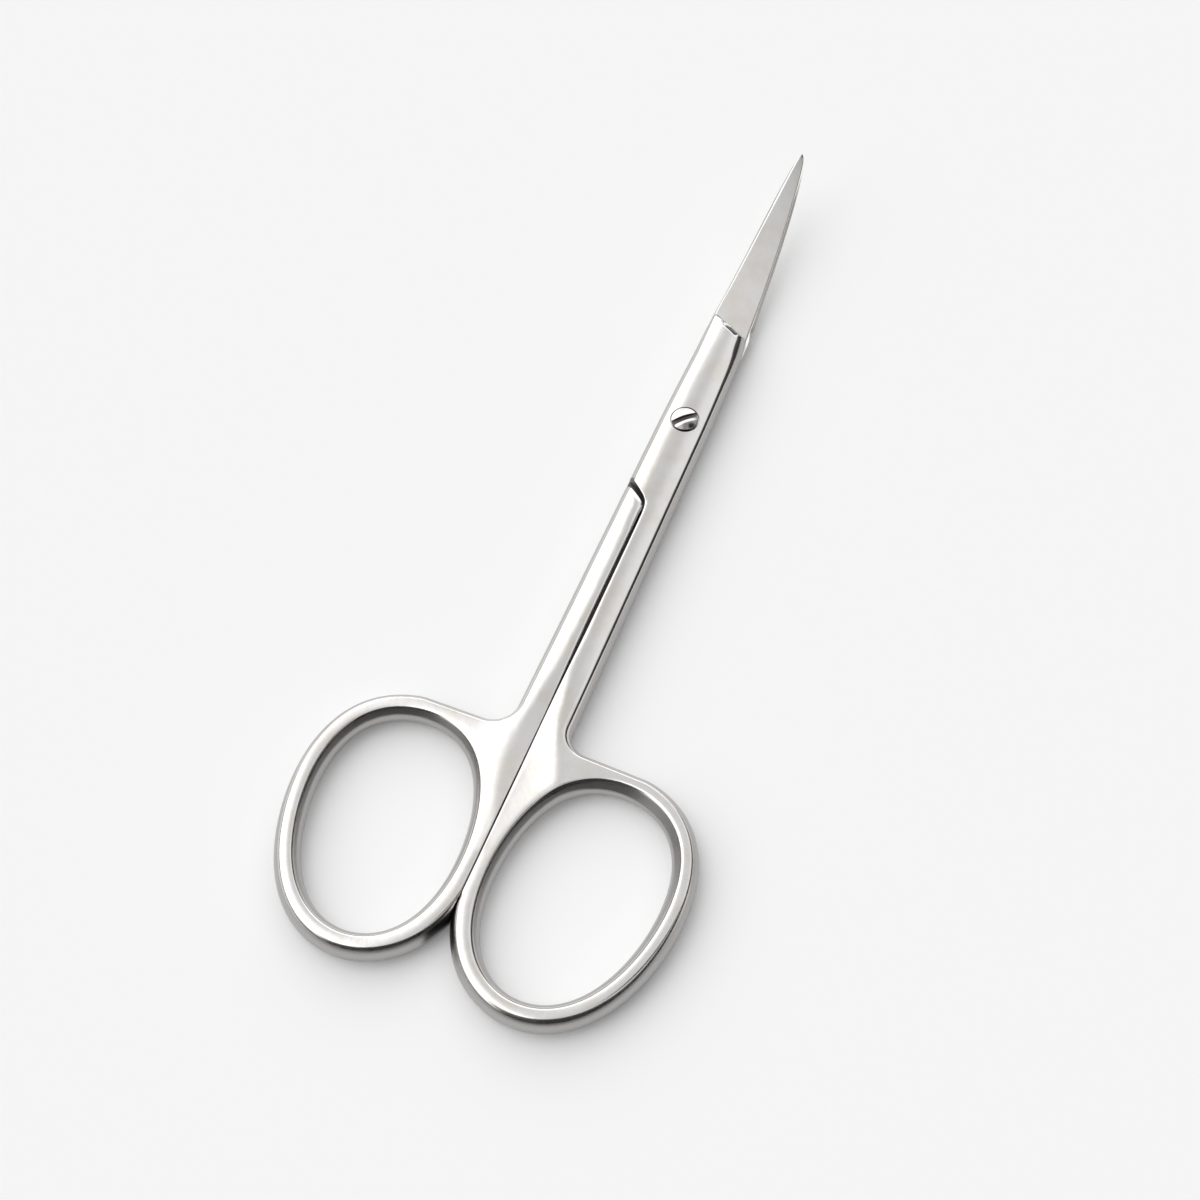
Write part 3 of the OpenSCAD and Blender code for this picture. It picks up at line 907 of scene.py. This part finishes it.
class Signal:
    """A shader socket that takes part in Python arithmetic."""

    def __init__(self, tree: NodeTree, socket: NodeSocket) -> None:
        """Wraps an output socket of that tree."""
        self.tree, self.socket = tree, socket

    __add__ = __radd__ = operator("ADD")
    __mul__ = __rmul__ = operator("MULTIPLY")
    __sub__, __rsub__ = operator("SUBTRACT"), operator("SUBTRACT", swapped=True)
    __truediv__ = operator("DIVIDE")
    __pow__ = operator("POWER")
    at_least = operator("MAXIMUM")
    angle_from = operator("ARCTAN2")

    def step(self, low: float, high: float, start: float = 0.0, end: float = 1.0) -> "Signal":
        """A smooth step from start at low to end at high."""
        return node(self.tree, "ShaderNodeMapRange", {"interpolation_type": "SMOOTHSTEP"},
                    {"Value": self, "From Min": low, "From Max": high, "To Min": start, "To Max": end})

    def beside(self, output: int | str) -> "Signal":
        """Another output of the node that this one comes from."""
        return Signal(self.tree, self.socket.node.outputs[output])

    def axes(self) -> "tuple[Signal, Signal, Signal]":
        """The three parts of this vector."""
        x = node(self.tree, "ShaderNodeSeparateXYZ", {}, {0: self})
        return x, x.beside(1), x.beside(2)

    def noise(self, scale: float, detail: float, roughness: float) -> "Signal":
        """A noise texture at this place."""
        return node(self.tree, "ShaderNodeTexNoise", {},
                    {"Vector": self, "Scale": scale, "Detail": detail, "Roughness": roughness})

    def blend(self, a: "Signal | tuple", b: "Signal | tuple") -> "Signal":
        """The colour that is this share of the way from a to b."""
        return node(self.tree, "ShaderNodeMix", {"data_type": "RGBA"}, {0: self, 6: a, 7: b}, 2)


def node(tree: NodeTree, kind: str, settings: dict, inputs: dict, output: int | str = 0) -> Signal:
    """Adds a node, sets it and links its inputs.

    Args:
        tree: The tree it is added to.
        kind: The node's type.
        settings: Its own settings by name.
        inputs: Its input sockets by name or number, each a Signal or a plain value.
        output: The output to hand back.

    Returns:
        That output as a Signal.
    """
    made = tree.nodes.new(kind)
    for name, value in settings.items():
        setattr(made, name, value)
    for name, value in inputs.items():
        if isinstance(value, Signal):
            tree.links.new(value.socket, made.inputs[name])
        else:
            made.inputs[name].default_value = value
    return Signal(tree, made.outputs[output])


class Grain(Enum):
    """Which way the fine lines of a finish run."""

    ALONG = "along the shank and round the bow"
    ACROSS = "across the blade"
    ROUND = "round the screw"


# A zone of heights that no face reaches, and the near-black colour of the painted shade in the joint's
# corners and round the screw's head
NOWHERE = (-2.0, -3.0)
PAINTED_SHADE = (0.05, 0.048, 0.05, 1.0)


@dataclass(frozen=True)
class Steel:
    """A steel surface: its tone, its polish and the lines that the polishing left.

    wall_zone is where the walls' darker tone, a painted shade, takes over; the end pair for the ground steel
    says where the painted shade near the notch stops along X; bow_satin is how much duller the bow is. A
    noise is its scale, detail and roughness.
    """

    name: str
    grain: Grain
    light: Triple
    warm: Triple
    rough: float
    rough_spread: float
    wave_depth: float
    line_depth: float
    centre: Pair = (0.0, 0.0)
    wall_zone: Pair = (2.52, 2.4)
    # Painted shade: the darker tone of the walls below the top edge, which dims their reflections.
    shaded_side_tone: Triple = (0.47, 0.46, 0.45)
    # Where the painted shade on the ground faces near the notch ends along X.
    shade_end: Pair = (0.0, 1.0)
    bow_satin: float = 0.0
    sizes: Sizes = Sizes()
    line_noise: Triple = (1.0, 3.0, 0.6)
    wave_noise: Triple = (0.42, 2.0, 0.5)
    ripple_noise: Triple = (1.9, 2.0, 0.6)
    cloud_noise: Triple = (0.3, 4.0, 0.65)
    speck_noise: Triple = (7.0, 2.0, 0.7)

    def _painted_shade(self, place: Signal) -> Signal:
        """How much painted shade darkens the joint's corners, found by the place along the shank, and on the
        screw by its height and side.
        """
        x, y, z = place.axes()
        # Ground faces: painted shade near the notch, where the halves overlap.
        if self.grain is Grain.ACROSS:
            return x.step(*self.shade_end, 0.9, 0.0)
        # Screw: painted shade on the head's side in its seat, and a painted dark reflection on one side of
        # the dome.
        if self.grain is Grain.ROUND:
            below = (x - self.centre[0]) * 0.719 + y * 0.695
            return z.step(2.97, 2.9) * 0.85 + below.step(-0.56, -0.64) * z.step(2.9, 2.97) * 0.6
        # Forgings: painted shade in the seam between the halves, strongest near the top of the gap.
        wide = 0.3 + x.step(-26.0, -33.0) * 1.3
        mouth = z.step(2.5, 2.3) * z.step(1.1, 1.9, 0.2, 1.0)
        seam = (y * y / (wide * wide)).step(1.0, 0.4) * mouth * x.step(4.0, 3.0)
        # Painted shade in the slit at the shoulder's step, where the plate's end meets the blade.
        past = x - (self.sizes.pivot_x + self.sizes.shoulder_at) - y * self.sizes.shoulder_slant
        slit = past.step(-0.44, -0.4) * past.step(0.04, -0.02) * y.step(0.6, 0.1) * y.step(-1.12, -1.0)
        return (seam + slit * z.step(2.2, 2.4)) * 0.93

    def _lines(self, place: Signal) -> Signal:
        """Fine lines that run the way the piece was ground or polished."""
        x, y, z = place.axes()
        dx, dy = x - self.centre[0], y - self.centre[1]
        away = (dx * dx + dy * dy) ** 0.5
        if self.grain is Grain.ROUND:
            spot = (away * 9.0, dy.angle_from(dx) * 0.6, z * 9.0)
        elif self.grain is Grain.ACROSS:
            spot = (x * 7.0 + y * 1.6, y * 0.55, z * 0.6)
        else:
            bow = x.step(-20.0, -24.0)
            spot = (bow * dx / away * 40.0 + (1.0 - bow) * y * 6.5,
                    bow * dy / away * 40.0 + (1.0 - bow) * x * 0.45,
                    bow * away * 0.4 + (1.0 - bow) * z * 6.5)
        return node(place.tree, "ShaderNodeCombineXYZ", {}, dict(enumerate(spot))).noise(*self.line_noise)

    def material(self) -> Material:
        """Makes the node material.

        Returns:
            The finished material.
        """
        made = bpy.data.materials.new(self.name)
        made.use_nodes = True
        tree = made.node_tree
        shader = tree.nodes["Principled BSDF"]
        coords = node(tree, "ShaderNodeTexCoord", {}, {}, "Object")
        place = node(tree, "ShaderNodeVectorMath", {"operation": "SCALE"}, {0: coords, "Scale": 1 / MM})
        x, _, z = place.axes()
        lines = self._lines(place)
        wave, ripple = place.noise(*self.wave_noise), place.noise(*self.ripple_noise)
        cloud = place.noise(*self.cloud_noise)
        pits = place.noise(*self.speck_noise).step(0.66, 0.76)
        dull = tuple(0.72 * c for c in self.warm)
        tone = cloud.step(0.4, 0.68).blend((*self.light, 1.0), (*self.warm, 1.0))
        tone = (pits * 0.2 + lines.step(0.6, 0.8) * 0.14).blend(tone, (*dull, 1.0))
        # Painted shade: the walls below the top edge take a darker tone, and the joint's corners, the
        # shoulder's slit and the screw's head are darkened towards near-black. The wall mask also makes the
        # walls rougher.
        rise = (x - (self.sizes.pivot_x + self.sizes.curve_start)).at_least(0.0)
        wall = (z - rise * rise * (1 / (2 * self.sizes.curve_r))).step(*self.wall_zone)
        tone = self._painted_shade(place).blend(wall.blend(tone, (*self.shaded_side_tone, 1.0)), PAINTED_SHADE)
        satin = x.step(-16.0, -24.0) * self.bow_satin
        uneven = (lines - 0.5) * 1.4 + (cloud - 0.5) * 0.8
        rough = self.rough + satin + self.rough_spread * uneven + pits * 0.03 + wall * 0.12
        height = self.wave_depth * (wave + ripple * 0.18) + self.line_depth * lines
        height = height - pits * (0.3 * self.line_depth)
        bump = node(tree, "ShaderNodeBump", {}, {"Strength": 1.0, "Distance": MM, "Height": height})
        for value, name in ((tone, "Base Color"), (rough, "Roughness"), (bump, "Normal")):
            tree.links.new(value.socket, shader.inputs[name])
        shader.inputs["Metallic"].default_value = 1.0
        return made


@dataclass
class Screw:
    """The slotted pivot screw: a crowned head, a plain journal and the end that the lower half holds."""

    name: str = "slotted_screw"
    sizes: Sizes = Sizes()
    rings: int = 22
    worn: float = 0.13
    rim_w: float = 0.05
    rim_h: float = 0.035
    end_up: float = 0.16
    end_l: float = 0.1
    end_share: float = 0.9
    slot_round: float = 0.06
    slot_up: float = 0.12
    lip_w: float = 0.34
    lip_off: float = 0.36
    lip_d: float = 0.1
    lip_slope: float = 0.27

    def build(self) -> Object:
        """Builds the screw's mesh in the row frame.

        Returns:
            The finished object, at the origin.
        """
        s = self.sizes
        seat = s.half_t - s.seat_d + s.slide_gap
        rim = seat + s.head_h - self.worn
        radius = s.head_d / 2
        screw = rod(radius, seat, rim, sides=128)
        screw.name = screw.data.name = self.name
        self._select_end(screw, 1)
        inner, height = radius, 0.0
        for k in range(1, self.rings + 1):
            reach = radius * (1 - k / (self.rings + 1))
            rise = (s.head_dome + self.worn) * (1 - (reach / radius) ** 2)
            if k == 1:
                reach, rise = radius - self.rim_w, self.rim_h
            bpy.ops.mesh.inset(thickness=inner - reach, depth=0)
            bpy.ops.transform.translate(value=(0, 0, rise - height))
            inner, height = reach, rise
        self._select_end(screw, -1)
        bpy.ops.mesh.inset(thickness=radius - s.journal_d / 2, depth=0)
        for depth, shrink in ((seat, s.thread_d / s.journal_d), (s.half_t - self.end_up, 1.0),
                              (self.end_l, self.end_share)):
            bpy.ops.mesh.extrude_region_move(TRANSFORM_OT_translate={"value": (0, 0, -depth)})
            bpy.ops.transform.resize(value=(shrink, shrink, 1.0), center_override=(0, 0, 0))
        bpy.ops.object.mode_set(mode="OBJECT")
        cut(screw, self._slot_tool(rim))
        cut(screw, self._lip_tool(rim))
        finish_piece(screw, s, 30.0)
        return screw

    @staticmethod
    def _select_end(piece: Object, way: int) -> None:
        """Selects in edit mode only the level faces that look up, 1, or down, -1."""
        bpy.ops.object.mode_set(mode="OBJECT")
        for part in (piece.data.vertices, piece.data.edges):
            for item in part:
                item.select = False
        for face in piece.data.polygons:
            face.select = face.normal.z * way > 0.9
        bpy.ops.object.mode_set(mode="EDIT")
        bpy.ops.mesh.select_mode(type="FACE")

    def _slot_tool(self, rim: float) -> Object:
        """The blade that cuts the driver slot, with rounded lower edges."""
        s = self.sizes
        low = rim + self.worn + s.head_dome - s.slot_d - self.slot_up
        tool = box((s.head_d + 2.0, s.slot_w, 2.0), low + 1.0, s.slot_turn)
        with whole_mesh():
            bpy.ops.mesh.bevel(offset=self.slot_round, segments=3)
        return tool

    def _lip_tool(self, rim: float) -> Object:
        """The tool that leaves a bright bevel along the slot's worn lip."""
        s = self.sizes
        tool = box((s.head_d + 0.6, self.lip_w, 1.0), 0.0, 0.0)
        with whole_mesh():
            bpy.ops.mesh.subdivide(number_cuts=10)
        rise = self.worn + s.head_dome
        for vert in tool.data.vertices:
            x, y, z = vert.co
            fall = rise * (2 * x / s.head_d) ** 2
            up = z + 0.5 + rim + rise - self.lip_d - self.lip_slope * y - fall
            vert.co = (x, y - self.lip_off, up)
        tool.rotation_euler = (0, 0, s.slot_turn)
        apply_place(tool)
        return tool

    def dress(self, piece: Object) -> None:
        """Gives the screw its turned steel."""
        # The turned steel carries painted shade on the head's side in its seat and a painted dark reflection
        # on one side of the dome.
        turned = Steel("turned_steel", Grain.ROUND, (0.66, 0.65, 0.64), (0.58, 0.53, 0.48), 0.17, 0.1,
                       0.006, 0.003, (self.sizes.pivot_x, 0.0), wall_zone=NOWHERE)
        piece.data.materials.append(turned.material())


@dataclass
class Studio:
    """The pale floor, the soft light round it and the camera, whose direction in plan is view."""

    lens: float = 66.0
    place: Triple = (-96.98, -37.39, 179.80)
    aim: Triple = (-6.25, 0.249, 1.35)
    view: Pair = (0.9237, 0.3832)
    white: float = 1.95
    grey: float = 0.76
    glow: float = 0.14

    def camera(self) -> None:
        """Sets the camera where the photograph was taken."""
        data = bpy.data.cameras.new("camera")
        data.lens, data.sensor_width = self.lens, 36.0
        data.clip_start, data.clip_end = 0.001, 20.0
        camera = bpy.data.objects.new("camera", data)
        bpy.context.scene.collection.objects.link(camera)
        place = Vector(self.place) * MM
        look = Vector(self.aim) * MM - place
        camera.location = place
        camera.rotation_euler = look.to_track_quat("-Z", "Y").to_euler()
        bpy.context.scene.camera = camera

    def floor(self) -> Object:
        """Makes the pale floor, which keeps the shadow."""
        clear_selection()
        bpy.ops.mesh.primitive_plane_add(size=6.0, location=(0, 0, -0.00002))
        floor = bpy.context.object
        floor.name = "floor"
        apply_place(floor)
        made = bpy.data.materials.new("pale_floor")
        made.use_nodes = True
        tree = made.node_tree
        shader = tree.nodes["Principled BSDF"]
        shader.inputs["Base Color"].default_value = (0.95, 0.95, 0.95, 1.0)
        shader.inputs["Roughness"].default_value = 0.9
        shader.inputs["Specular IOR Level"].default_value = 0.1
        seen = node(tree, "ShaderNodeLightPath", {}, {}, "Is Camera Ray")
        glossy, through = seen.beside("Is Glossy Ray"), seen.beside("Is Transmission Ray")
        share = seen.at_least(glossy).at_least(through) * self.glow
        glow = node(tree, "ShaderNodeEmission", {}, {"Color": (1.0, 1.0, 1.0, 1.0), "Strength": 1.0})
        mixed = node(tree, "ShaderNodeMixShader", {}, {0: share, 1: Signal(tree, shader.outputs[0]), 2: glow})
        tree.links.new(mixed.socket, tree.nodes["Material Output"].inputs[0])
        floor.data.materials.append(made)
        return floor

    def light(self) -> None:
        """Makes the light: a white box at upper left, a greyer right side and dark patches."""
        world = bpy.data.worlds.new("studio")
        bpy.context.scene.world = world
        world.use_nodes = True
        tree = world.node_tree
        x, y, z = node(tree, "ShaderNodeTexCoord", {}, {}, "Generated").axes()
        right = x * self.view[1] - y * self.view[0]
        ahead = x * self.view[0] + y * self.view[1]
        box_left = right.step(-0.06, -0.15) * z.step(0.2, 0.45)
        fill = self.grey + right.step(0.08, 0.26) * 0.3
        front = ahead.step(0.58, 0.72) * right.step(0.6, 0.35)
        fill = fill + (self.white - fill) * front
        fill = fill * (1.0 - right.step(0.52, 0.66) * z.step(0.72, 0.58) * 0.93)
        off = right - 0.45
        fill = fill * ((off * off + ahead * ahead) ** 0.5).step(0.18, 0.26, 0.05, 1.0)
        level = fill + (self.white - fill) * box_left
        behind = ahead.step(-0.34, -0.46) * (right * right).step(0.56, 0.36)
        level = level * (1.0 - 0.96 * behind) * z.step(0.1, 0.34, 0.04, 1.0)
        seen = node(tree, "ShaderNodeLightPath", {}, {}, "Is Camera Ray")
        level = level * (1.0 - seen) + seen
        back = tree.nodes["Background"]
        back.inputs["Color"].default_value = (1.0, 1.0, 1.0, 1.0)
        tree.links.new(level.socket, back.inputs["Strength"])


def main() -> None:
    """Builds the scissors, dresses them and sets the stage."""
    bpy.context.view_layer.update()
    studio = Studio()
    studio.camera()
    studio.light()
    studio.floor()
    upper = Half("upper_forging", Side.UPPER, fillet_r=2.4, edge_r=0.22, seam_r=0.03, inset=0.0,
                 ridge_soft=0.35, hole_more=0.2)
    lower = Half("lower_forging", Side.LOWER, fillet_r=3.0, edge_r=0.1, seam_r=0.13, inset=0.12,
                 ridge_soft=0.56, hole_more=0.06)
    for half, node_name, body in ((upper, "upper_half", "upper_body"), (lower, "lower_half", "lower_body")):
        piece = half.build()
        count = half.dress(piece)
        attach(piece, body)
        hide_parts(node_name)
        log.info("%s: %d faces, %d of them ground", piece.name, len(piece.data.polygons), count)
    pivot = Screw()
    screw = pivot.build()
    pivot.dress(screw)
    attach(screw, "lower_body")
    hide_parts("pivot_screw")
    log.info("%s: %d faces", screw.name, len(screw.data.polygons))
    bpy.context.scene.view_settings.view_transform = "Standard"


if __name__ == "__main__":
    logging.basicConfig(level=logging.INFO, format="%(message)s")
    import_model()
    main()
